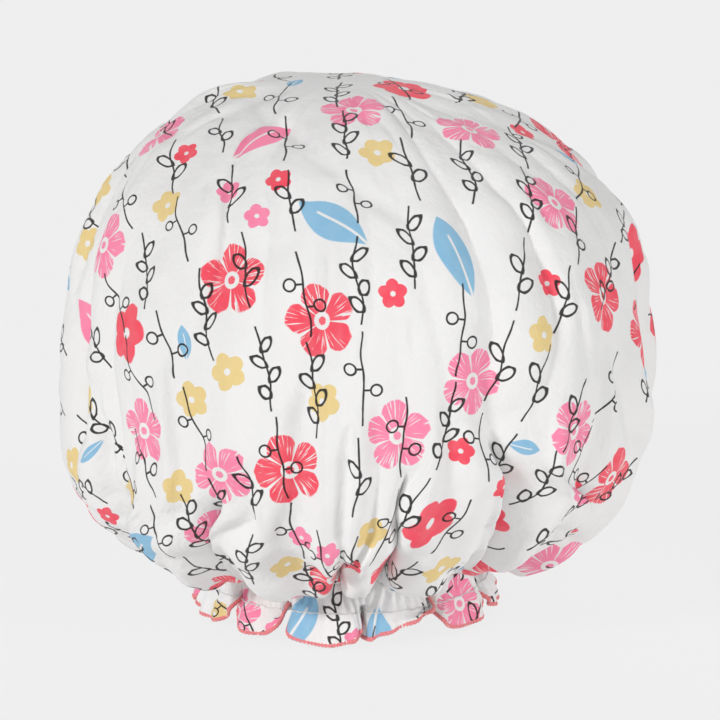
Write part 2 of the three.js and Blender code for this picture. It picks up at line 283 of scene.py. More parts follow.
class CapTrim(bpy.types.PropertyGroup):
    thread: colour_setting("Thread", "White sewing thread", (0.86, 0.85, 0.83))
    edging: colour_setting("Edging", "Coral overlocking thread", (0.97, 0.262, 0.275))
    film: colour_setting("Film", "Frosted waterproof lining", (0.76, 0.79, 0.81))
    elastic: colour_setting("Elastic", "Woven elastic", (0.82, 0.81, 0.79))
    stitch_length: length_setting("Stitch length", "One lockstitch", 0.0026)
    edging_height: length_setting("Edging height", "Height of the overlocked edge", 0.0019)
    edging_bulk: length_setting("Edging bulk", "Thickness of the overlocked edge", 0.0012)
    edging_pitch: length_setting("Edging pitch", "Space between the edging's wraps", 0.0016)


class StageSetup(bpy.types.PropertyGroup):
    camera_angle: FloatProperty(
        name="Camera angle", description="How far the camera looks down",
        default=math.radians(14), subtype="ANGLE",
    )
    camera_distance: length_setting("Camera distance", "From the camera to the cap", 1.3)
    frame_width: length_setting("Frame width", "Width of the picture at the cap", 0.294)
    backdrop: colour_setting(
        "Backdrop", "Pale grey of the floor and the backdrop", (0.888, 0.888, 0.888)
    )


# The cloth's shape: every place on it is a turn round the cap and a length down from the top


def ease(start, end, value):
    """0 before start and 1 after end, eased between them."""
    share = np.clip((value - start) / (end - start), 0, 1)
    return share * share * (3 - 2 * share)


def from_front(degrees):
    """The turn that is some degrees round from the front."""
    return np.radians(degrees - 90)


def turned_apart(turn, other):
    """The way round from one turn to another, no more than half a round either way."""
    return (turn - other + math.pi) % (2 * math.pi) - math.pi


def between(turn, edges, values):
    """Values given at edges round the cap, read at the turns between them."""
    around = np.append(edges, edges[0] + 2 * math.pi)
    return np.interp((turn - edges[0]) % (2 * math.pi) + edges[0], around, values)


def across_spans(turn, edges):
    """Which span from edge to edge a turn is on, how far across it and how wide the span is."""
    numbered = between(turn, edges, np.arange(len(edges) + 1))
    span = np.minimum(numbered.astype(int), len(edges) - 1)
    return span, numbered - span, np.diff(np.append(edges, edges[0] + 2 * math.pi))[span]


def soft_noise(seed, around, along, turn, share):
    """Smooth bumps from -1 to 1 that close up round the cap."""
    values = np.random.default_rng(seed).uniform(-1, 1, (around, along + 2))
    across = (turn / (2 * math.pi)) % 1 * around
    down = np.clip(share, 0, 1) * along
    column, row = np.floor(across).astype(int), np.floor(down).astype(int)
    x, y = across - column, down - row
    x, y = x**3 * (x * (x * 6 - 15) + 10), y**3 * (y * (y * 6 - 15) + 10)
    here, following = column % around, (column + 1) % around
    upper = values[here, row] * (1 - x) + values[following, row] * x
    lower = values[here, row + 1] * (1 - x) + values[following, row + 1] * x
    return upper * (1 - y) + lower * y


def loose_tucks(rng, count):
    """Small tucks that run up from the neck all round, in the form of the swells."""
    tucks = []
    for number in range(count):
        turn = (number + rng.uniform(-0.3, 0.3)) * 360 / count
        start, end = rng.uniform(0.180, 0.245), rng.uniform(0.285, 0.305)
        height = rng.uniform(0.0020, 0.0036) * rng.choice([-1, 1])
        slant = rng.normal(0, 5)
        half_width = rng.uniform(0.0038, 0.0056)
        steep = rng.choice([-1.0, -0.6, 0.6, 1.0])
        tucks.append((turn + slant, start, turn, end, half_width, height, steep))
    return tucks


class Pattern:
    """The cap's profile, and where its folds put each place of the cloth."""

    def __init__(self, shape):
        self.shape = shape
        self.swelled = SWELLS + loose_tucks(np.random.default_rng(TUCK_SEED), TUCK_COUNT)
        quarter = np.linspace(0, math.pi / 2, PROFILE_STEPS)
        crown_power, belly_power = 2 / CROWN_SQUARENESS, BELLY_SQUARENESS
        crown = np.stack(
            [
                shape.crown_radius * np.sin(quarter) ** crown_power,
                self.widest + shape.crown_rise * np.cos(quarter).clip(0) ** crown_power,
            ],
            1,
        )
        neck = shape.neck_radius / shape.crown_radius
        fullness = shape.belly_drop / (1 - neck**belly_power) ** (1 / belly_power)
        turn = np.linspace(0, math.acos(neck ** (belly_power / 2)), PROFILE_STEPS + 1)[1:]
        belly = np.stack(
            [
                shape.crown_radius * np.cos(turn) ** (2 / belly_power),
                self.widest - fullness * np.sin(turn) ** (2 / belly_power),
            ],
            1,
        )
        ruffle_radius = (shape.neck_radius + shape.hem_radius) / 2
        below = np.array(
            [
                (shape.neck_radius, shape.lower_row_height),
                (ruffle_radius, shape.lower_row_height * 0.57),
                (shape.hem_radius, HEM_ABOVE_FLOOR),
            ]
        )
        self.points = np.concatenate([crown, belly, below])
        steps = np.hypot(*np.diff(self.points, axis=0).T)
        self.lengths = np.concatenate([[0], np.cumsum(steps)])
        self.to_widest = self.lengths[len(crown) - 1]
        self.to_upper_row = self.lengths[len(crown) + len(belly) - 1]
        self.to_lower_row = self.lengths[-3]
        self.to_hem = self.lengths[-1]

    @property
    def widest(self):
        return self.shape.upper_row_height + self.shape.belly_drop

    def profile(self, down):
        """Radius and height of the plain form, and its direction outwards."""
        radius = np.interp(down, self.lengths, self.points[:, 0])
        height = np.interp(down, self.lengths, self.points[:, 1])
        before = np.clip(down - PROFILE_STEP, 0, None)
        after = np.clip(down + PROFILE_STEP, None, self.to_hem)
        rise = [np.interp(p, self.lengths, self.points[:, 1]) for p in (before, after)]
        reach = [np.interp(p, self.lengths, self.points[:, 0]) for p in (before, after)]
        run, fall = reach[1] - reach[0], rise[1] - rise[0]
        length = np.hypot(run, fall)
        out = np.where(down < PROFILE_STEP, 0, -fall / length)
        up = np.where(down < PROFILE_STEP, 1, run / length)
        return radius, height, out, up

    def across_fold(self, turn, down):
        """Which fold a place is on, how far across it from crease to crease and how wide it is."""
        share = down / self.to_hem
        neck = ease(self.to_upper_row - NECK_RUN, self.to_upper_row, down)
        edges, slants = from_front(CREASE_TURNS), np.radians(CREASE_SLANTS)
        slant = between(turn, edges, np.append(slants, slants[0]))
        above = 1 - ease(SLANT_START, self.to_upper_row, down)
        drift = 0.035 * soft_noise(11, 13, 6, turn, share) + 0.02 * soft_noise(12, 31, 11, turn, share)
        return across_spans(turn - slant * above + drift * (1 - 0.8 * neck), edges)

    def ruffle(self, turn, down, gathers, tight):
        """How far the ruffle stands out, how far it is lifted and how far it moves round."""
        tab, across, width = across_spans(turn, from_front(NOTCH_TURNS))
        following = (tab + 1) % len(NOTCHES)
        inward = NOTCH_DEPTHS[tab] * (1 - across) + NOTCH_DEPTHS[following] * across
        flare = ease(self.to_upper_row + 0.002, self.to_hem, down)
        front = 1 - np.abs(2 * across - 1) ** 5
        depth = self.shape.ruffle_depth * flare**0.7
        stand = depth * (inward * (front - 1) + 0.32)
        stand += HEM_GATHER * gathers * flare + HEM_PUCKER * tight * (1 - flare)
        lift = RIGHT_LIFTS[tab] * (1 - across) ** 5
        lift += LEFT_LIFTS[following] * across ** LATENESS[following]
        lift *= ease(self.to_lower_row, self.to_hem, down)
        sideways = -0.13 * np.sin(2 * math.pi * across) * width * flare**0.5
        return stand, lift, sideways

    def swells(self, turn, down):
        """Height of the soft ridges and hollows."""
        total = np.zeros_like(turn)
        radius = np.interp(down, self.lengths, self.points[:, 0])
        for from_turn, from_down, to_turn, to_down, half_width, height, steep in self.swelled:
            start, end = from_front(from_turn), from_front(to_turn)
            share = np.clip((down - from_down) / (to_down - from_down), 0, 1)
            away = turned_apart(turn, start + (end - start) * share)
            beyond = down - np.clip(down, from_down, to_down)
            side = 1 - 0.6 * np.clip(np.sign(away) * steep, 0, 1)
            distance = np.hypot(away * radius / side, beyond * 0.6) / half_width
            total += height * np.exp(-distance * distance)
        return total

    def lumps(self, turn, down):
        """Height of the filling's lumps and crumples, and the pattern of the neck's crumples."""
        share = down / self.to_hem
        shifted = turn + 0.10 * soft_noise(26, 9, 5, turn, share)
        total = sum(
            height * soft_noise(seed, around, along, turn, share)
            for seed, around, along, height in LUMPS
        )
        ridged = np.abs(soft_noise(24, 31, 3, shifted, share)) ** 0.8 - 0.35
        total += BROAD_CRUMPLE * ridged * (0.4 + 0.6 * ease(0.06, 0.15, down))
        total += FINE_CRUMPLE * (np.abs(soft_noise(25, 43, 15, shifted, share)) - 0.3)
        return total, np.abs(soft_noise(28, 64, 22, shifted, share)) - 0.3

    def place(self, turn, down, inset=0.0):
        """Where the cloth lies, or a layer inset into the cap from it."""
        shape, top_row, low_row = self.shape, self.to_upper_row, self.to_lower_row
        radius, height, out, up = self.profile(down)
        share = down / self.to_hem
        fold, across, width = self.across_fold(turn, down)
        following = (fold + 1) % len(CREASES)

        def blended(values):
            """The values of the fold's two creases, one turning into the other across it."""
            return values[fold] * (1 - across) + values[following] * across

        def nearing_row(start, end):
            """0 at start above the casing's upper row and 1 at end above it."""
            return ease(top_row - start, top_row - end, down)

        # Depth of the fold: each crease starts at its own height and is held in at the neck
        soft = blended(CREASE_FILLED) * ease(SOFT_FOLD_START, self.to_widest, down)
        begins = blended(CREASE_STARTS)
        pinch = ease(begins, begins + PINCH_RUN, down)
        deepening = np.clip((down - begins) / (top_row - DEEPEST_ABOVE_ROW - begins), 0, 1)
        deep = soft + (1.15 - soft) * (0.55 * pinch + 0.45 * deepening)
        amount = blended(CREASE_DEPTHS) * deep * (1 - 0.92 * nearing_row(0.020, 0))

        # A lobe rises steeply beside the crease that it leans over
        steep_left = 1 + 0.5 * np.clip(-CREASE_LEANS[fold], 0, 1)
        steep_right = 1 + 0.5 * np.clip(CREASE_LEANS[following], 0, 1)
        from_left = across ** (1 / steep_left)
        from_right = 1 - (1 - across) ** (1 / steep_right)
        warped = np.clip(from_left * (1 - across) + from_right * across, 0, 1)
        narrow = 1.05 - 0.45 * pinch + 0.15 * deepening
        lobe = np.sin(math.pi * warped).clip(0) ** narrow
        stand = shape.fold_depth * amount * (lobe - 0.94)

        # Smaller gathers between the folds, tightest along the elastic
        numbered = fold + across
        wander = soft_noise(41, 23, 7, turn, share)
        gathers = np.sin(2 * math.pi * (numbered * 3 + 0.6 * wander))
        tight = np.sin(2 * math.pi * numbered * 5 + 1.6 * np.sin(7 * turn) + 0.9 * np.sin(17 * turn))
        pleats = np.abs(np.sin(math.pi * (numbered * 2 + 0.7 * wander))) ** 0.7 - 0.6
        reach = PLEAT_REACH + PLEAT_REACH_SPREAD * soft_noise(43, 27, 1, turn, share * 0)
        near_neck = nearing_row(reach + 0.012, reach * 0.30) * (1 - nearing_row(0.010, 0))
        stand += PLEAT_HEIGHT * pleats * near_neck
        stand += PUCKER_HEIGHT * tight * nearing_row(0.020, 0.001)

        # The casing puffs over the elastic and opens into the ruffle
        casing = np.clip((down - top_row) / (low_row - top_row), 0, 1)
        puff = np.sin(math.pi * casing)
        ruffle, lift, tab_sideways = self.ruffle(turn, down, gathers, tight)
        in_casing = (down >= top_row) & (down <= low_row)
        held = CASING_PUCKER * tight * (1 + 0.3 * puff) + CASING_PUFF * puff
        spread = ease(0.1, 1, casing)
        held = held * (1 - spread) + spread * np.where(casing < 0.8, ruffle.clip(0), ruffle)
        stand = np.where(in_casing, held, stand)
        stand = np.where(down > low_row, ruffle, stand)

        # Lumps and swells of the filling, and crumples where the gathers squeeze the cloth
        lumps, crumples = self.lumps(turn, down)
        stand += lumps * ease(0.015, 0.06, down) * (1 - nearing_row(0.03, 0))
        crumpled = ease(0.205, 0.265, down) * (1 - nearing_row(0.010, 0.002))
        stand += NECK_CRUMPLE * crumples * crumpled
        stand += self.swells(turn, down) * (1 - nearing_row(0.016, 0.003))

        # Lobes are wider than their creases, lean over them and droop on to the neck
        opened = (0.25 * np.clip(amount, 0, 1) + 0.75 * pinch) * (1 - nearing_row(0.008, 0))
        leaning = 0.40 * blended(CREASE_LEANS) * lobe
        sideways = (leaning - 0.13 * np.sin(2 * math.pi * across)) * width * opened
        droop = nearing_row(0.05, 0.02) - nearing_row(0.016, 0.002)
        drooping = DROOP_DEPTH * droop * lobe * amount
        sideways = np.where(down > top_row, tab_sideways * ease(0, 1, casing), sideways)
        lift = np.where(down > low_row, lift, 0)

        radius = radius + out * (stand - inset)
        height = height + up * (stand - inset) - drooping + lift
        turned = turn + sideways
        return self.leaned(radius * np.cos(turned), radius * np.sin(turned), height)

    def leaned(self, x, y, height):
        """A point pushed to the left as the cap leans at its height."""
        shape = self.shape
        above = np.clip((height - self.widest) / shape.crown_rise, 0, 1)
        below = np.clip((self.widest - height) / shape.belly_drop, 0, 1)
        moved = x - shape.crown_lean * above**3 - shape.neck_lean * below**2
        return np.stack([moved, y, height], -1)


def cloth_rows(pattern):
    """How far down the cloth each row of the mesh lies, closer together where it is folded."""
    shape = pattern.shape
    change = pattern.to_widest - FINE_ROWS_ABOVE_WIDEST
    return np.concatenate(
        [
            np.linspace(0, change, shape.crown_rows, endpoint=False),
            np.linspace(change, pattern.to_upper_row, shape.belly_rows, endpoint=False),
            np.linspace(pattern.to_upper_row, pattern.to_hem, shape.ruffle_rows + 1),
        ]
    )


def grid_sheet(name, columns, rows):
    """A flat grid as a mesh, with each point's column and row numbers; row 0 is the last in y."""
    grid = bmesh.new()
    bmesh.ops.create_grid(grid, x_segments=columns, y_segments=rows, size=0.5)
    mesh = bpy.data.meshes.new(name)
    grid.to_mesh(mesh)
    grid.free()
    flat = np.empty(len(mesh.vertices) * 3)
    mesh.vertices.foreach_get("co", flat)
    flat = flat.reshape(-1, 3)
    column = np.rint((flat[:, 0] + 0.5) * columns).astype(int)
    row = np.rint((0.5 - flat[:, 1]) * rows).astype(int)
    return mesh, column, row


class FoldedSheet:
    """A sheet laid over the cap's form as a mesh, which knows its places on the flat cloth."""

    def __init__(self, name, pattern, inset_at=None):
        columns = pattern.shape.columns
        self.rows = cloth_rows(pattern)
        self.turns = np.linspace(-math.pi, math.pi, columns + 1)
        self.mesh, self.column, self.row = grid_sheet(name, columns, len(self.rows) - 1)
        turn_grid, down_grid = np.meshgrid(self.turns, self.rows)
        inset = inset_at(down_grid) if inset_at else 0.0
        self.points = pattern.place(turn_grid, down_grid, inset)
        self.points[0] = self.points[0].mean(axis=0)
        self.points[:, -1] = self.points[:, 0]
        self.steps = np.linalg.norm(np.diff(self.points, axis=1), axis=2)
        self.ring_lengths = self.steps.sum(axis=1)
        if not np.isfinite(self.points).all():
            raise RuntimeError(f"{name} has points that are nowhere")
        self.mesh.vertices.foreach_set("co", self.points[self.row, self.column].ravel())
        self.corners = np.empty(len(self.mesh.loops), dtype=int)
        self.mesh.loops.foreach_get("vertex_index", self.corners)

    def ring_radius(self, down):
        """The radius of the ring that is as long as the cloth is round the cap there."""
        return np.interp(down, self.rows, self.ring_lengths) / (2 * math.pi)


def closed_up(mesh, distance=1e-6):
    """Merges the seam and the pole of a grid that was wrapped round."""
    sheet = bmesh.new()
    sheet.from_mesh(mesh)
    bmesh.ops.remove_doubles(sheet, verts=sheet.verts, dist=distance)
    bmesh.ops.recalc_face_normals(sheet, faces=sheet.faces)
    sheet.to_mesh(mesh)
    sheet.free()
    mesh.polygons.foreach_set("use_smooth", [True] * len(mesh.polygons))


def ring_path(pattern, down, inset, count):
    """A ring along the cloth: its points, their directions down and out, and its length."""
    turns = np.linspace(-math.pi, math.pi, count + 1)
    path = pattern.place(turns, np.full_like(turns, down), inset)
    above = pattern.place(turns, np.full_like(turns, down - RING_STEP), inset)
    along = np.gradient(path, axis=0)
    along[0] = along[-1] = along[0] + along[-1]
    along /= np.linalg.norm(along, axis=1)[:, None]
    outward = np.cross(along, path - above)
    outward *= np.sign((outward * path * (1, 1, 0)).sum())
    outward /= np.linalg.norm(outward, axis=1)[:, None]
    below = np.cross(outward, along)
    below *= np.sign(((path - above) * below).sum())
    steps = np.linalg.norm(np.diff(path, axis=0), axis=1)
    return path, below, outward, np.concatenate([[0], np.cumsum(steps)])


def strand_mesh(name, points, wrap=None):
    """A closed strand from rings of points, the last of each set on the first.

    Wrap is 1 on top of each turn of a wrapped thread and 0 between two turns.
    """
    mesh, column, row = grid_sheet(name, points.shape[1] - 1, points.shape[0] - 1)
    points[-1] = points[0]
    points[:, -1] = points[:, 0]
    mesh.vertices.foreach_set("co", points[row, column].ravel())
    if wrap is not None:
        attribute = mesh.attributes.new("wrap", "FLOAT", "POINT")
        attribute.data.foreach_set("value", wrap[row, column])
    closed_up(mesh, 1e-7)
    return mesh


def swept(centre, below, outward, tall, thick):
    """Rings of points round a path, from their places along below and along outward."""
    return centre[None] + below[None] * tall[..., None] + outward[None] * thick[..., None]


def add_piece(name, mesh, material, slot, *nodes):
    piece = bpy.data.objects.new(name, mesh)
    bpy.context.scene.collection.objects.link(piece)
    mesh.materials.clear()
    mesh.materials.append(material)
    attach(piece, BODY)
    if nodes:
        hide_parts(*nodes)
    return piece


# The print: blossoms and leaves scattered over the cloth, and columns of drawn sprigs


def scatter_motifs(rng, reach, ring_radius):
    """Places, sizes, kinds and inks of the blossoms and leaves, none touching another."""
    area = 2 * math.pi * ring_radius(np.linspace(0, reach, 200)).mean() * reach
    placed = []
    for radius, kind, ink, share in MOTIF_SORTS:
        wanted, tries = int(share * area), 0
        while wanted > 0 and tries < MOTIF_TRIES:
            tries += 1
            turn, down = rng.uniform(-math.pi, math.pi), reach * math.sqrt(rng.uniform(0.0005, 1))
            if rng.uniform() > ring_radius(down) / down / 1.05:
                continue
            spin = rng.uniform(-math.pi, math.pi)
            for at_turn, at_down, at_radius, *_ in placed:
                aside = turned_apart(turn, at_turn) * ring_radius(min(down, at_down))
                if math.hypot(aside, down - at_down) < radius + at_radius + MOTIF_GAP:
                    break
            else:
                placed.append((turn, down, radius, kind, ink, spin))
                wanted -= 1
    return np.array(placed)


def scatter_sprigs(rng, reach, pitch, ring_radius):
    """Places, half lengths and kinds of the drawn sprigs, none crossing another.

    They stand in loose columns on the flat cloth, so round the cap they slant away from the front.
    """
    placed = []
    rows, columns = int(reach / SPRIG_ROW_ROOM), int(reach / pitch) + 1
    for column in range(-columns, columns + 1):
        first = rng.uniform(0, 1)
        for row in range(-rows, rows + 1):
            across = (column + rng.uniform(-0.07, 0.07)) * pitch
            along = (row + first + rng.uniform(-0.05, 0.05)) * SPRIG_SPACING
            down = math.hypot(across, along)
            if not SPRIG_POLE_GAP < down < reach + SPRIG_PAST_HEM:
                continue
            turn = math.atan2(-along, across)
            half = rng.uniform(*SPRIG_HALF_LENGTHS)
            away = turn + math.pi / 2
            upward = math.atan2(-SPRIG_FALL * math.sin(away), math.cos(away))
            spin = upward + rng.normal(0, 0.05)
            for at_turn, at_down, at_half, *_ in placed:
                aside = turned_apart(turn, at_turn) * ring_radius((down + at_down) / 2)
                above = at_down - down
                level = abs(aside * math.cos(spin) + above * math.sin(spin))
                upright = abs(above * math.cos(spin) - aside * math.sin(spin))
                if level < SPRIG_WIDTH and upright < half + at_half - SPRIG_OVERLAP:
                    break
            else:
                placed.append((turn, down, half, rng.uniform(), 0, spin))
    return np.array(placed)


def mark_cloth(sheet, places, name, stretch, weight):
    """Gives each face the nearest motif, and its corners their places on that motif.

    The places are measured along the cloth itself, so that a motif goes into the folds.
    """
    turns, downs, sizes, kinds, inks, spins = places.T
    start = np.zeros((len(sheet.rows), 1))
    around = np.concatenate([start, np.cumsum(sheet.steps, axis=1)], axis=1)
    whole = around[:, -1]
    corners = sheet.corners.reshape(-1, 4)
    column, row = sheet.column[corners], sheet.row[corners]
    middle_turn = sheet.turns[column].mean(axis=1)
    middle_row = row.max(axis=1)
    down = sheet.rows[middle_row]
    mean_radius = whole[middle_row] / (2 * math.pi)
    best = np.full(len(corners), np.inf)
    chosen = np.zeros(len(corners), dtype=int)
    for number, (turn, place, size, spin) in enumerate(zip(turns, downs, sizes, spins)):
        aside, above = turned_apart(middle_turn, turn) * mean_radius, place - down
        level = aside * math.cos(spin) + above * math.sin(spin)
        upright = above * math.cos(spin) - aside * math.sin(spin)
        distance = np.hypot(level, upright * stretch) - weight * size
        closer = distance < best
        best[closer], chosen[closer] = distance[closer], number
    centre = np.stack([np.interp(turns, sheet.turns, ring) for ring in around])
    offset = around[row, column] - centre[row, chosen[:, None]]
    ring = whole[row]
    across = (offset + ring / 2) % np.where(ring > 0, ring, 1) - ring / 2
    above = downs[chosen][:, None] - sheet.rows[row]
    spin = spins[chosen][:, None]
    local = np.stack(
        [across * np.cos(spin) + above * np.sin(spin), above * np.cos(spin) - across * np.sin(spin)],
        -1,
    )
    sheet.mesh.uv_layers.new(name=name).data.foreach_set("uv", local.ravel())
    for label, values in {"size": sizes, "kind": kinds, "ink": inks}.items():
        attribute = sheet.mesh.attributes.new(f"{name}_{label}", "FLOAT", "FACE")
        attribute.data.foreach_set("value", values[chosen])


# Node charts for the materials


class Wire:
    """A value in a node chart that takes plain sums, each of which adds a maths node."""

    def __init__(self, chart, socket):
        self.chart = chart
        self.socket = socket

    def __add__(self, other):
        return self.chart.math("ADD", self, other)

    def __sub__(self, other):
        return self.chart.math("SUBTRACT", self, other)

    def __rsub__(self, other):
        return self.chart.math("SUBTRACT", other, self)

    def __mul__(self, other):
        return self.chart.math("MULTIPLY", self, other)

    def __truediv__(self, other):
        return self.chart.math("DIVIDE", self, other)

    def __abs__(self):
        return self.chart.math("ABSOLUTE", self)


class Chart:
    """A node tree under construction, with short ways to add nodes to it."""

    def __init__(self, tree):
        self.tree = tree
        self.placed = 0

    def node(self, kind, **settings):
        """A new node, laid out in rows of 30 beside the others."""
        node = self.tree.nodes.new(kind)
        for name, value in settings.items():
            setattr(node, name, value)
        node.location = (self.placed % 30 * 180 - 2400, -(self.placed // 30) * 260)
        self.placed += 1
        return node

    def feed(self, socket, value):
        """Links a wire or a node's output to a socket, or sets the socket to a constant."""
        if isinstance(value, Wire):
            value = value.socket
        if isinstance(value, bpy.types.NodeSocket):
            self.tree.links.new(value, socket)
        else:
            socket.default_value = value

    def fed(self, node, sockets, values, output=0):
        """The wire from a node whose sockets are fed with the values."""
        for socket, value in zip(sockets, values):
            self.feed(node.inputs[socket], value)
        return Wire(self, node.outputs[output])

    def math(self, operation, *values):
        return self.fed(self.node("ShaderNodeMath", operation=operation), (0, 1), values)

    def larger(self, a, b):
        return self.math("MAXIMUM", a, b)

    def size(self, x, y):
        return self.math("SQRT", x * x + y * y)

    def step(self, value, start, end):
        """0 before start and 1 after end, eased between them."""
        node = self.node("ShaderNodeMapRange", interpolation_type="SMOOTHSTEP")
        return self.fed(node, (0, 1, 2, 3, 4), (value, start, end, 0.0, 1.0))

    def mix(self, share, a, b):
        """The colour a share of the way from a to b."""
        node = self.node("ShaderNodeMix", data_type="RGBA")
        return self.fed(node, (0, 6, 7), (share, a, b), 2)

    def choose(self, share, a, b):
        """The number a share of the way from a to b."""
        return self.fed(self.node("ShaderNodeMix", data_type="FLOAT"), (0, 2, 3), (share, a, b))

    def noise(self, place, scale, detail=2.0, roughness=0.5):
        names = ("Vector", "Scale", "Detail", "Roughness")
        node = self.node("ShaderNodeTexNoise")
        return self.fed(node, names, (place, scale, detail, roughness), "Fac")

    def split(self, vector):
        node = self.node("ShaderNodeSeparateXYZ")
        self.feed(node.inputs[0], vector)
        return [Wire(self, output) for output in node.outputs]

    def join(self, x, y, z):
        return self.fed(self.node("ShaderNodeCombineXYZ"), (0, 1, 2), (x, y, z))

    def attribute(self, name):
        return Wire(self, self.node("ShaderNodeAttribute", attribute_name=name).outputs["Fac"])

    def marked(self, name):
        """Places on the cloth or on its motifs, from the map of that name."""
        return Wire(self, self.node("ShaderNodeUVMap", uv_map=name).outputs[0])

    def object_place(self):
        return Wire(self, self.node("ShaderNodeTexCoord").outputs["Object"])

    def group(self, tree, **inputs):
        """A node group's outputs by name, with its inputs fed."""
        node = self.node("ShaderNodeGroup", node_tree=tree)
        for name, value in inputs.items():
            self.feed(node.inputs[name.replace("_", " ")], value)
        return {output.name: Wire(self, output) for output in node.outputs}

    def bump(self, surface, height, distance):
        node = self.node("ShaderNodeBump")
        node.inputs["Distance"].default_value = distance
        self.feed(node.inputs["Height"], height)
        self.feed(surface.inputs["Normal"], node.outputs["Normal"])

    def seen(self):
        """1 for rays that show a surface in the picture, also mirrored or through a sheet."""
        rays = self.node("ShaderNodeLightPath")
        names = ("Is Camera Ray", "Is Glossy Ray", "Is Transmission Ray")
        straight, mirrored, through = (Wire(self, rays.outputs[name]) for name in names)
        return self.larger(straight, self.larger(mirrored, through))


def new_group(name, inputs, outputs):
    """An empty shader node group's chart, its inputs as wires and its exit.

    Inputs gives each one's constant, or None where it is a place.
    """
    group = bpy.data.node_groups.new(name, "ShaderNodeTree")
    for label, value in inputs.items():
        kind = "NodeSocketVector" if value is None else "NodeSocketFloat"
        socket = group.interface.new_socket(name=label, in_out="INPUT", socket_type=kind)
        if value is not None:
            socket.default_value = value
    for label in outputs:
        group.interface.new_socket(name=label, in_out="OUTPUT", socket_type="NodeSocketFloat")
    chart = Chart(group)
    entry = chart.node("NodeGroupInput")
    given = {label: Wire(chart, entry.outputs[label]) for label in inputs}
    return chart, given, chart.node("NodeGroupOutput")


def blossom_group():
    """Masks of the brushed blossom, the leaf and the solid blossom on their own places."""
    chart, given, leave = new_group(
        "Blossoms and leaves", {"Place": None, "Size": 0.01, "Kind": 0.0, "Seed": 0.0}, ["Mask"]
    )
    kind, seed = given["Kind"], given["Seed"]
    x, y, _ = chart.split(given["Place"])
    x, y = x / given["Size"], y / given["Size"]
    radius = chart.size(x, y)
    angle = chart.math("ARCTAN2", y, x)
    wobble = (chart.noise(chart.join(x, y, seed), 2.4) - 0.5) * 0.22
    petals = abs(chart.math("COSINE", angle * 2.5))
    reach = chart.math("POWER", petals, 0.55) * 0.40 + 0.55 + wobble
    outline = chart.step(reach - radius, -0.015, 0.03)

    # The brushed blossom is streaked from its eye outwards, with a bare ring round the eye
    along = chart.join(
        chart.math("COSINE", angle) * 9.0, chart.math("SINE", angle) * 9.0, radius * 0.9 + seed
    )
    streak = chart.step(chart.noise(along, 1.6, 3.0), 0.57, 0.62)
    worn = chart.step(radius, 0.24, 0.62)
    clefts = chart.step(petals + radius * -0.16, 0.0, 0.10)
    eye = chart.step(abs(radius - 0.17), 0.045, 0.075)
    brushed = outline * (1.0 - streak * worn) * clefts * eye

    # A leaf between two arcs, with a bare midrib that stops short of the tip
    belly = 1.0 - x * x
    half = belly * (x * 0.10 + 0.46)
    blade = chart.step(half - abs(y), -0.01, 0.03)
    rib = chart.step(abs(y + belly * 0.05), 0.015, 0.05)
    leaf = blade * chart.larger(rib, chart.step(x, 0.45, 0.55))

    # The solid blossom has rounder petals and a small bare eye
    solid = chart.step(petals * 0.26 + 0.68 + wobble * 0.5 - radius, -0.015, 0.04)
    solid = solid * chart.step(radius, 0.13, 0.2)

    mask = chart.choose(chart.math("GREATER_THAN", kind, 0.5), brushed, leaf)
    mask = chart.choose(chart.math("GREATER_THAN", kind, 1.5), mask, solid)
    chart.feed(leave.inputs["Mask"], mask)
    return chart.tree


def sprig_group():
    """Mask of a drawn sprig: a waving stem with open leaves or berries on both sides."""
    chart, given, leave = new_group(
        "Drawn sprigs", {"Place": None, "Half length": 0.015, "Kind": 0.0, "Line": 0.0007}, ["Mask"]
    )
    half, kind = given["Half length"], given["Kind"]
    y, x, _ = chart.split(given["Place"])
    seed = kind * 37.0
    wander = chart.noise(chart.join(x, seed, 0.0), 70.0, 0.0)
    y = y + (wander - 0.5) * 0.006
    pressed = chart.noise(chart.join(x, y, seed), 260.0) * 0.7 + 0.55
    half_line = given["Line"] * pressed * 0.5

    def drawn(distance):
        return 1.0 - chart.step(distance, half_line * 0.7, half_line * 1.5)

    stem = drawn(abs(y)) * (1.0 - chart.step(abs(x), half * 0.97, half))

    # Leaves in turn on either side, each an open loop on a slant
    spacing = kind * 0.0026 + 0.0058
    cell = chart.math("FLOOR", x / spacing)
    middle = (cell + 0.5) * spacing
    local = x - middle
    side = y * (chart.math("FLOORED_MODULO", cell, 2.0) * 2.0 - 1.0)
    slant = 0.70
    rooted = local + spacing * 0.43
    along = rooted * math.cos(slant) + side * math.sin(slant)
    across = side * math.cos(slant) - rooted * math.sin(slant)
    long_half, wide_half = spacing * 0.56, spacing * 0.30
    ring = chart.size((along - long_half) / long_half, across / wide_half)
    leaves = drawn(abs(ring - 1.0) * (wide_half * 0.9))

    # Berries, open rings on short stalks
    berry = chart.size(local, side - spacing * 0.62)
    stalk = chart.larger(abs(local), abs(side - spacing * 0.18) - spacing * 0.17)
    berries = chart.larger(drawn(abs(berry - spacing * 0.27)), drawn(stalk))

    kept = chart.math("LESS_THAN", abs(middle) - (half - spacing), 0.0)
    grown = chart.choose(chart.math("GREATER_THAN", kind, 0.62), leaves, berries)
    chart.feed(leave.inputs["Mask"], chart.larger(stem, grown * kept))
    return chart.tree


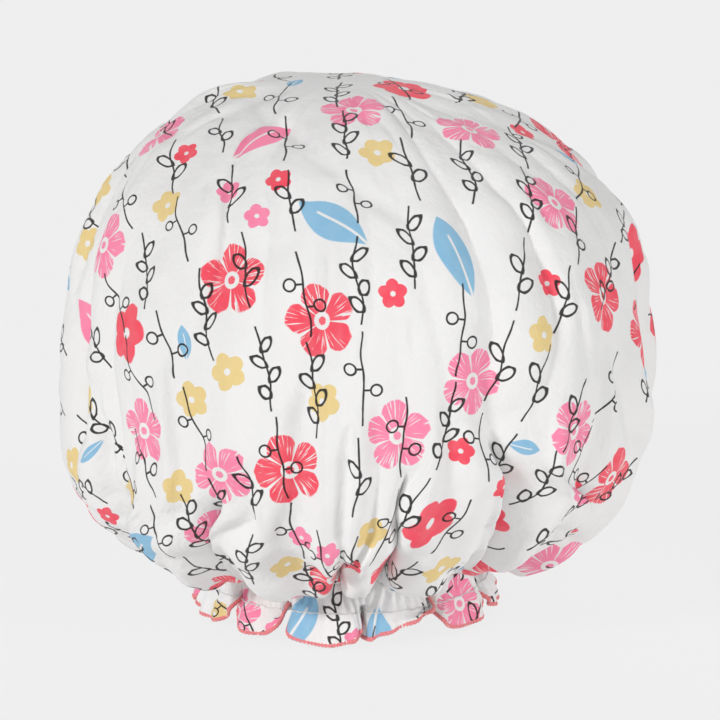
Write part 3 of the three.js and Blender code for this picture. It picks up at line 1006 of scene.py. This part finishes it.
def weave_group():
    """Height and tint of a plain weave, from places measured along the cloth."""
    chart, given, leave = new_group(
        "Plain weave", {"Place": None, "Pitch": 0.0005}, ["Height", "Tint"]
    )
    x, y, _ = chart.split(given["Place"])
    warp, weft = x / given["Pitch"] * math.pi, y / given["Pitch"] * math.pi
    over = chart.math("SINE", warp) * chart.math("COSINE", weft)
    yarns = abs(chart.math("SINE", warp)) + abs(chart.math("SINE", weft))
    chart.feed(leave.inputs["Height"], yarns * 0.5 + over * 0.35)
    slub_across = chart.noise(chart.join(x * 0.25, y * 9.0, 0.0), 420.0, 1.0)
    slub_down = chart.noise(chart.join(x * 9.0, y * 0.25, 4.0), 420.0, 1.0)
    chart.feed(leave.inputs["Tint"], (slub_across + slub_down) * 0.5)
    return chart.tree


def twist_group():
    """Height of the plies of a twisted thread, and where its colour is deeper."""
    chart, given, leave = new_group(
        "Twisted thread", {"Place": None, "Scale": 1.0}, ["Height", "Tint"]
    )
    x, y, z = chart.split(given["Place"])
    ply = abs(chart.math("SINE", (x + y + z * 1.7) * given["Scale"] * 9000.0))
    fuzz = chart.noise(given["Place"], 2600.0, 2.0)
    chart.feed(leave.inputs["Height"], ply * 0.6 + fuzz * 0.4)
    chart.feed(leave.inputs["Tint"], chart.noise(given["Place"], 160.0, 3.0))
    return chart.tree


def new_material(name):
    material = bpy.data.materials.new(name)
    material.use_nodes = True
    return material, Chart(material.node_tree), material.node_tree.nodes["Principled BSDF"]


def rgba(colour, share=1.0):
    return (*(min(part * share, 1) for part in colour), 1)


def ink_ramp(chart, number, inks):
    """The colour of an ink from its number."""
    ramp = chart.node("ShaderNodeValToRGB")
    ramp.color_ramp.interpolation = "CONSTANT"
    while len(ramp.color_ramp.elements) < len(inks):
        ramp.color_ramp.elements.new(0.5)
    for place, (element, ink) in enumerate(zip(ramp.color_ramp.elements, inks)):
        element.position = place / len(inks)
        element.color = rgba(ink)
    chart.feed(ramp.inputs[0], (number + 0.5) / float(len(inks)))
    return Wire(chart, ramp.outputs[0])


def printed_cotton(colours, groups):
    """Fine white cotton with brushed blossoms, leaves and drawn sprigs printed on it."""
    material, chart, surface = new_material("Printed cotton")
    cloth, size = chart.marked("cloth"), chart.attribute("motif_size")
    weave = chart.group(groups["weave"], Place=cloth, Pitch=0.00055)
    blossoms = chart.group(
        groups["blossom"],
        Place=chart.marked("motif"),
        Size=size,
        Kind=chart.attribute("motif_kind"),
        Seed=size * 1700.0,
    )["Mask"]
    sprigs = chart.group(
        groups["sprig"],
        Place=chart.marked("sprig"),
        Half_length=chart.attribute("sprig_size"),
        Kind=chart.attribute("sprig_kind"),
        Line=colours.ink_width,
    )["Mask"]
    inks = (colours.coral, colours.pink, colours.sky, colours.mustard)
    ink = ink_ramp(chart, chart.attribute("motif_ink"), inks)
    patchy = chart.step(chart.noise(cloth, 130.0, 3.0), 0.30, 0.75)
    cotton = rgba(colours.cotton)
    white = chart.mix(weave["Tint"], rgba(colours.cotton, 0.965), rgba(colours.cotton, 1.03))
    white = chart.mix(chart.noise(cloth, 22.0, 2.0) * 0.10, white, rgba(colours.cotton, 0.90))
    printed = chart.mix(blossoms * 0.97, white, chart.mix(patchy * 0.07, ink, cotton))
    printed = chart.mix(sprigs * 0.98, printed, rgba(colours.ink))
    chart.feed(surface.inputs["Base Color"], printed)
    rough = chart.choose(chart.larger(blossoms, sprigs), 0.86, 0.72)
    chart.feed(surface.inputs["Roughness"], rough)
    surface.inputs["Sheen Weight"].default_value = 0.12
    surface.inputs["Sheen Roughness"].default_value = 0.5
    surface.inputs["Specular IOR Level"].default_value = 0.25
    crinkle = chart.noise(cloth, 95.0, 4.0, 0.6) * 4.6
    chart.bump(surface, weave["Height"] * 0.16 + crinkle, 0.00028)
    return material


def frosted_film(trim):
    """Soft waterproof film with a fine matt emboss and broad creases."""
    material, chart, surface = new_material("Frosted film")
    place = chart.object_place()
    tint = chart.mix(chart.noise(place, 35.0, 3.0), rgba(trim.film, 0.93), rgba(trim.film, 1.05))
    chart.feed(surface.inputs["Base Color"], tint)
    rough = chart.choose(chart.noise(place, 60.0, 2.0), 0.28, 0.46)
    chart.feed(surface.inputs["Roughness"], rough)
    surface.inputs["Coat Weight"].default_value = 0.15
    surface.inputs["Coat Roughness"].default_value = 0.3
    emboss = chart.noise(place, 1600.0, 2.0) * 0.25 + chart.noise(place, 120.0, 3.0)
    chart.bump(surface, emboss, 0.0004)
    return material


def woven_elastic(trim, groups):
    """Flat elastic with raised ribs along it and covering yarns across."""
    material, chart, surface = new_material("Woven elastic")
    x, y, z = chart.split(chart.object_place())
    along = chart.math("ARCTAN2", y, x) * 0.06
    weave = chart.group(groups["weave"], Place=chart.join(along, z, 0.0), Pitch=0.0009)
    tint = chart.mix(weave["Tint"], rgba(trim.elastic, 0.88), rgba(trim.elastic, 1.04))
    chart.feed(surface.inputs["Base Color"], tint)
    chart.feed(surface.inputs["Roughness"], chart.choose(weave["Height"], 0.86, 0.70))
    chart.bump(surface, weave["Height"], 0.0003)
    return material


def sewing_thread(name, colour, groups, scale, wrapped=False):
    """Twisted polyester thread, darker where it turns under: painted shade in the grooves between its
    plies and, when wrapped, between its wraps.
    """
    material, chart, surface = new_material(name)
    twist = chart.group(groups["twist"], Place=chart.object_place(), Scale=scale)
    # deep is the dark end of the thread's random tone, and below it also the painted shade in the
    # grooves between the plies
    deep = rgba(colour, 0.80)
    tint = chart.mix(twist["Tint"], deep, rgba(colour, 1.14))
    # Painted shade: darker where the ply height is low, in the grooves between the plies
    thread_with_painted_shade = chart.mix(twist["Height"] * 0.5, chart.mix(0.25, tint, deep), tint)
    if wrapped:
        # Painted shade between the overlocking's wraps, where the wrap value is 0
        thread_with_painted_shade = chart.mix(chart.attribute("wrap"), rgba(colour, 0.78), thread_with_painted_shade)
    chart.feed(surface.inputs["Base Color"], thread_with_painted_shade)
    chart.feed(surface.inputs["Roughness"], chart.choose(twist["Height"], 0.72, 0.52))
    surface.inputs["Sheen Weight"].default_value = 0.1
    chart.bump(surface, twist["Height"], 0.00012)
    return material


def shared_groups():
    """The node groups that the materials share, made once."""
    makers = {
        "blossom": ("Blossoms and leaves", blossom_group),
        "sprig": ("Drawn sprigs", sprig_group),
        "weave": ("Plain weave", weave_group),
        "twist": ("Twisted thread", twist_group),
    }
    return {
        key: bpy.data.node_groups.get(name) or make() for key, (name, make) in makers.items()
    }


# Operators, and what they share


def lay_floor(pale):
    """The floor, which is pale paper in the light and an even glow in the picture."""
    grid = bmesh.new()
    bmesh.ops.create_grid(grid, x_segments=1, y_segments=1, size=FLOOR_HALF_WIDTH)
    mesh = bpy.data.meshes.new("studio_floor")
    grid.to_mesh(mesh)
    grid.free()
    floor = bpy.data.objects.new("studio_floor", mesh)
    bpy.context.scene.collection.objects.link(floor)
    material, chart, surface = new_material("Pale floor")
    surface.inputs["Base Color"].default_value = pale
    surface.inputs["Roughness"].default_value = 1.0
    surface.inputs["Specular IOR Level"].default_value = 0.0
    glow = chart.node("ShaderNodeEmission")
    glow.inputs["Color"].default_value = pale
    blend = chart.node("ShaderNodeMixShader")
    chart.feed(blend.inputs[0], chart.choose(chart.seen(), *FLOOR_GLOW))
    chart.feed(blend.inputs[1], surface.outputs[0])
    chart.feed(blend.inputs[2], glow.outputs[0])
    chart.feed(material.node_tree.nodes["Material Output"].inputs["Surface"], blend.outputs[0])
    mesh.materials.append(material)


def light_stage(scene, pale):
    """The pale world, and the suns round the cap."""
    world = bpy.data.worlds.new("Studio")
    scene.world = world
    world.use_nodes = True
    sky = Chart(world.node_tree)
    background = world.node_tree.nodes["Background"]
    background.inputs["Color"].default_value = pale
    sky.feed(background.inputs["Strength"], sky.choose(sky.seen(), *SKY_STRENGTH))
    for name, around, above, spread, power in SUNS:
        lamp = bpy.data.lights.new(name, "SUN")
        lamp.angle = math.radians(spread)
        lamp.energy = power
        turn = from_front(around)
        place = Vector((math.cos(turn), math.sin(turn), math.tan(math.radians(above))))
        light = bpy.data.objects.new(name, lamp)
        light.location = place
        light.rotation_euler = (-place).to_track_quat("-Z", "Y").to_euler()
        scene.collection.objects.link(light)


def aim_camera(scene, setup):
    camera = bpy.data.cameras.new("Product camera")
    holder = bpy.data.objects.new("Product camera", camera)
    scene.collection.objects.link(holder)
    back = Vector((0, -math.cos(setup.camera_angle), math.sin(setup.camera_angle)))
    holder.location = Vector((0, 0, AIM_HEIGHT)) + back * setup.camera_distance
    holder.rotation_euler = (-back).to_track_quat("-Z", "Y").to_euler()
    camera.sensor_width = SENSOR_WIDTH
    camera.lens = SENSOR_WIDTH * setup.camera_distance / setup.frame_width
    scene.camera = holder


class SewCloth(bpy.types.Operator):
    """Shapes the printed cotton over the filling and gathers it into its casing and ruffle"""

    bl_idname = "shower_cap.sew_cloth"
    bl_label = "Sew the cloth"

    def execute(self, context):
        colours = context.scene.cap_print
        pattern = Pattern(context.scene.cap_shape)
        sheet = FoldedSheet("outer_fabric_cloth", pattern)
        rng = np.random.default_rng(PRINT_SEED)
        motifs = scatter_motifs(rng, pattern.to_hem, sheet.ring_radius)
        sprigs = scatter_sprigs(rng, pattern.to_hem, colours.sprig_pitch, sheet.ring_radius)
        mark_cloth(sheet, motifs, "motif", stretch=1.0, weight=1.0)
        mark_cloth(sheet, sprigs, "sprig", stretch=0.52, weight=0.0)
        turn = sheet.turns[sheet.column[sheet.corners]]
        down = sheet.rows[sheet.row[sheet.corners]]
        flat = np.stack([down * np.cos(turn), down * np.sin(turn)], -1)
        sheet.mesh.uv_layers.new(name="cloth").data.foreach_set("uv", flat.ravel())
        closed_up(sheet.mesh)
        material = printed_cotton(colours, shared_groups())
        add_piece("outer_fabric_cloth", sheet.mesh, material, "printed_cotton", "outer_fabric")
        return {"FINISHED"}


class FitLining(bpy.types.Operator):
    """Fits the frosted film inside the cloth and round the inside of the elastic"""

    bl_idname = "shower_cap.fit_lining"
    bl_label = "Fit the lining"

    def execute(self, context):
        pattern = Pattern(context.scene.cap_shape)
        casing_length = pattern.to_lower_row - pattern.to_upper_row

        def inset_at(down):
            casing = np.clip((down - pattern.to_upper_row) / casing_length, 0, 1)
            return LINING_INSET + ELASTIC_INSET * np.sin(math.pi * casing) ** 0.5

        mesh = FoldedSheet("waterproof_lining_film", pattern, inset_at).mesh
        closed_up(mesh)
        material = frosted_film(context.scene.cap_trim)
        add_piece("waterproof_lining_film", mesh, material, "frosted_film", "waterproof_lining")
        return {"FINISHED"}


class FinishElastic(bpy.types.Operator):
    """Finishes the elastic band and the zigzag stitch that joins its ends"""

    bl_idname = "shower_cap.finish_elastic"
    bl_label = "Finish the elastic"

    def execute(self, context):
        trim, groups = context.scene.cap_trim, shared_groups()
        finishes = {
            "elastic_band": woven_elastic(trim, groups),
            "elastic_join_stitch": sewing_thread("Join thread", trim.thread, groups, 1.0),
        }
        for node, material in finishes.items():
            piece = bpy.data.objects.get(node)
            if piece is None:
                raise RuntimeError(f"{node} isn't in the frame")
            for place in piece.material_slots:
                place.material = material
        return {"FINISHED"}


class StitchRows(bpy.types.Operator):
    """Sews the casing's two rows of lockstitches, needle thread outside and bobbin thread inside"""

    bl_idname = "shower_cap.stitch_rows"
    bl_label = "Stitch the casing"

    def execute(self, context):
        trim = context.scene.cap_trim
        pattern = Pattern(context.scene.cap_shape)
        material = sewing_thread("White thread", trim.thread, shared_groups(), 1.0)
        rows = {"upper_row": pattern.to_upper_row, "lower_row": pattern.to_lower_row}
        layers = {"needle_thread": (0.0, 1), "bobbin_thread": (BOBBIN_INSET, -1)}
        angle = np.linspace(0, 2 * math.pi, 8)[:, None]
        for row, down in rows.items():
            for layer, (inset, side) in layers.items():
                path, below, outward, length = ring_path(pattern, down, inset, ROW_POINTS)
                stitches = round(length[-1] / trim.stitch_length)
                proud = np.abs(np.sin(length / length[-1] * stitches * math.pi)) ** 0.5
                rise = side * (STITCH_RISE * proud - STITCH_SINK)
                thick = THREAD_RADIUS * (0.75 + 0.25 * proud)
                centre = path + outward * rise[:, None]
                points = swept(centre, below, outward, np.sin(angle) * thick, np.cos(angle) * thick)
                name = f"{row}_{layer}_stitches"
                add_piece(name, strand_mesh(name, points), material, "white_thread", f"{row}_{layer}")
        return {"FINISHED"}


class OverlockHem(bpy.types.Operator):
    """Wraps both layers' edges in close coral overlocking"""

    bl_idname = "shower_cap.overlock_hem"
    bl_label = "Overlock the hem"

    def execute(self, context):
        trim = context.scene.cap_trim
        pattern = Pattern(context.scene.cap_shape)
        path, below, outward, length = ring_path(pattern, pattern.to_hem, HEM_INSET, HEM_POINTS)
        wraps = round(length[-1] / trim.edging_pitch)
        phase = length / length[-1] * wraps * 2 * math.pi
        centre = path - below * (trim.edging_height * 0.5 - 0.0003)
        angle = np.linspace(0, 2 * math.pi, 11)[:, None]
        wrap = np.cos(phase[None] - WRAP_SLANT * np.sin(angle))
        ridge = 1 + 0.15 * wrap
        tall = trim.edging_height / 2 * (0.4 + 0.6 * ridge) * np.cos(angle)
        thick = trim.edging_bulk / 2 * ridge * np.sin(angle)
        points = swept(centre, below, outward, tall, thick)
        points[..., 2] = points[..., 2].clip(0)
        material = sewing_thread(
            "Coral overlocking thread", trim.edging, shared_groups(), 0.5, wrapped=True
        )
        # The wrap values also set the painted shade between the wraps in the thread's colour
        mesh = strand_mesh("hem_overlock_threads", points, 0.5 + 0.5 * wrap)
        add_piece("hem_overlock_threads", mesh, material, "coral_thread", "hem_overlock_edging")
        return {"FINISHED"}


class SetStage(bpy.types.Operator):
    """Sets the pale floor and backdrop, the studio lights and the camera"""

    bl_idname = "shower_cap.set_stage"
    bl_label = "Set the stage"

    def execute(self, context):
        scene, setup = context.scene, context.scene.cap_stage
        pale = rgba(setup.backdrop)
        lay_floor(pale)
        light_stage(scene, pale)
        aim_camera(scene, setup)
        scene.view_settings.view_transform = "Standard"
        return {"FINISHED"}


class CapPanel(bpy.types.Panel):
    """Lists the cap's steps and sizes"""

    bl_idname = "VIEW3D_PT_shower_cap"
    bl_label = "Shower cap"
    bl_space_type = "VIEW_3D"
    bl_region_type = "UI"
    bl_category = "Shower cap"

    def draw(self, context):
        layout = self.layout
        for step in STEPS:
            layout.operator(step.bl_idname)
        for name, group in SETTINGS.items():
            box = layout.box()
            for setting in group.__annotations__:
                box.prop(getattr(context.scene, name), setting)


STEPS = (SewCloth, FitLining, FinishElastic, StitchRows, OverlockHem, SetStage)
SETTINGS = {
    "cap_shape": CapShape,
    "cap_print": CapPrint,
    "cap_trim": CapTrim,
    "cap_stage": StageSetup,
}
CLASSES = (*SETTINGS.values(), *STEPS, CapPanel)


def register():
    for group in CLASSES:
        bpy.utils.register_class(group)
    for name, group in SETTINGS.items():
        setattr(bpy.types.Scene, name, PointerProperty(type=group))


def unregister():
    for name in SETTINGS:
        delattr(bpy.types.Scene, name)
    for group in reversed(CLASSES):
        bpy.utils.unregister_class(group)


def main():
    register()
    bpy.ops.shower_cap.sew_cloth()
    bpy.ops.shower_cap.fit_lining()
    bpy.ops.shower_cap.finish_elastic()
    bpy.ops.shower_cap.stitch_rows()
    bpy.ops.shower_cap.overlock_hem()
    bpy.ops.shower_cap.set_stage()


if __name__ == "__main__":
    main()
